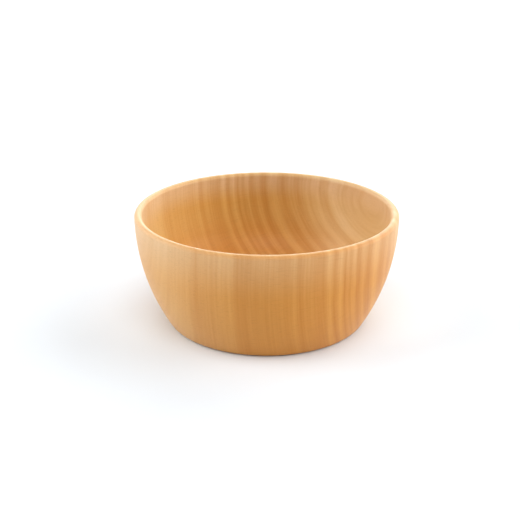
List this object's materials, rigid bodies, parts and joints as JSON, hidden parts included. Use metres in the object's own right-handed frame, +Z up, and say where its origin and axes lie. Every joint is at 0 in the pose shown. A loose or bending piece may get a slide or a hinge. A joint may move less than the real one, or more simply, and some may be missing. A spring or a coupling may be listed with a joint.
{
  "type": "shaving bowl",
  "caption": "Small round wooden shaving bowl, open at the top, with a rounded lip, a dished inside for working up lather and a flat foot ring.",
  "frame": {"origin": "centre of the standing face under the foot ring", "axes": "+Z up along the turning axis, out of the open mouth; the bowl is round, so +X and +Y are any two level directions, and the wood's fibres lie level, about 24 degrees anticlockwise from +Y seen from above"},
  "size_m": [0.11, 0.11, 0.0475],
  "materials": {
    "wood": "satin oil"
  },
  "bodies": {
    "root": {"bowl": "wood"}
  },
  "joints": []
}
